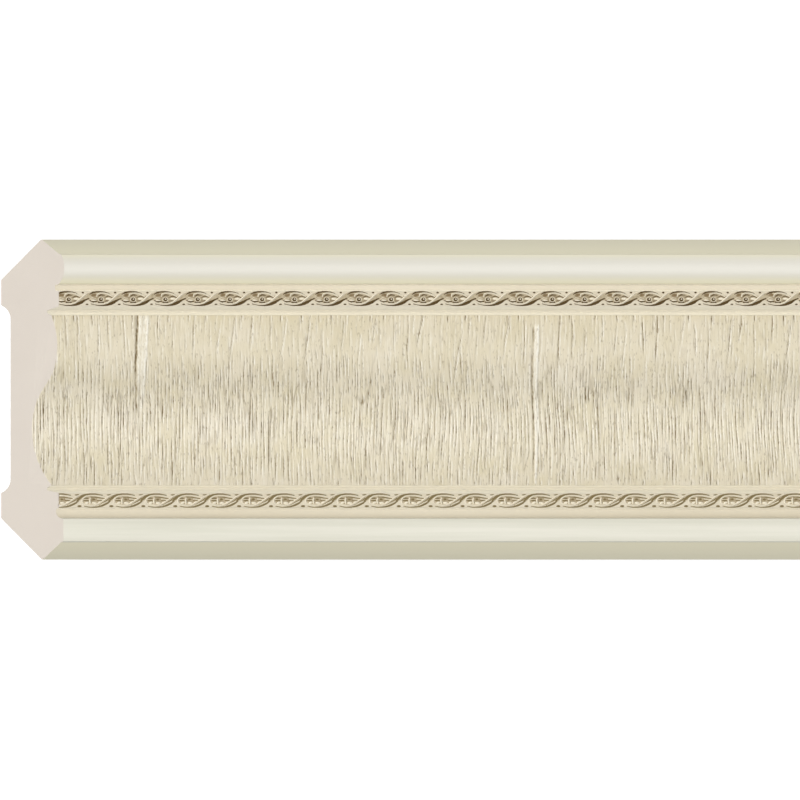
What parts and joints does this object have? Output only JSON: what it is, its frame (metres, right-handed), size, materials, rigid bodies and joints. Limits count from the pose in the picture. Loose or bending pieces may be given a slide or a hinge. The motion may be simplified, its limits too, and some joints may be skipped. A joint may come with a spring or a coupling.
{
  "type": "cornice moulding",
  "caption": "Length of foamed cornice moulding with a bead, twin scroll-ornament bands, a wood-grained ogee panel and a mitred end, for the corner between a wall and a ceiling.",
  "frame": {"origin": "middle of the length and of the width, in the plane of the two back lands", "axes": "+X along the length towards the square end, the mitred end at -X; +Y to the side that meets the ceiling, -Y to the side that meets the wall; +Z out of the back towards the face"},
  "size_m": [2.4, 0.1382, 0.0276],
  "materials": {
    "antique_cream_foam": "satin cream face with a pale brown patina in the grain and the ornament; the sawn ends and the back are bare pinkish beige foam"
  },
  "bodies": {
    "root": {"cornice_moulding": "antique_cream_foam"}
  },
  "joints": []
}
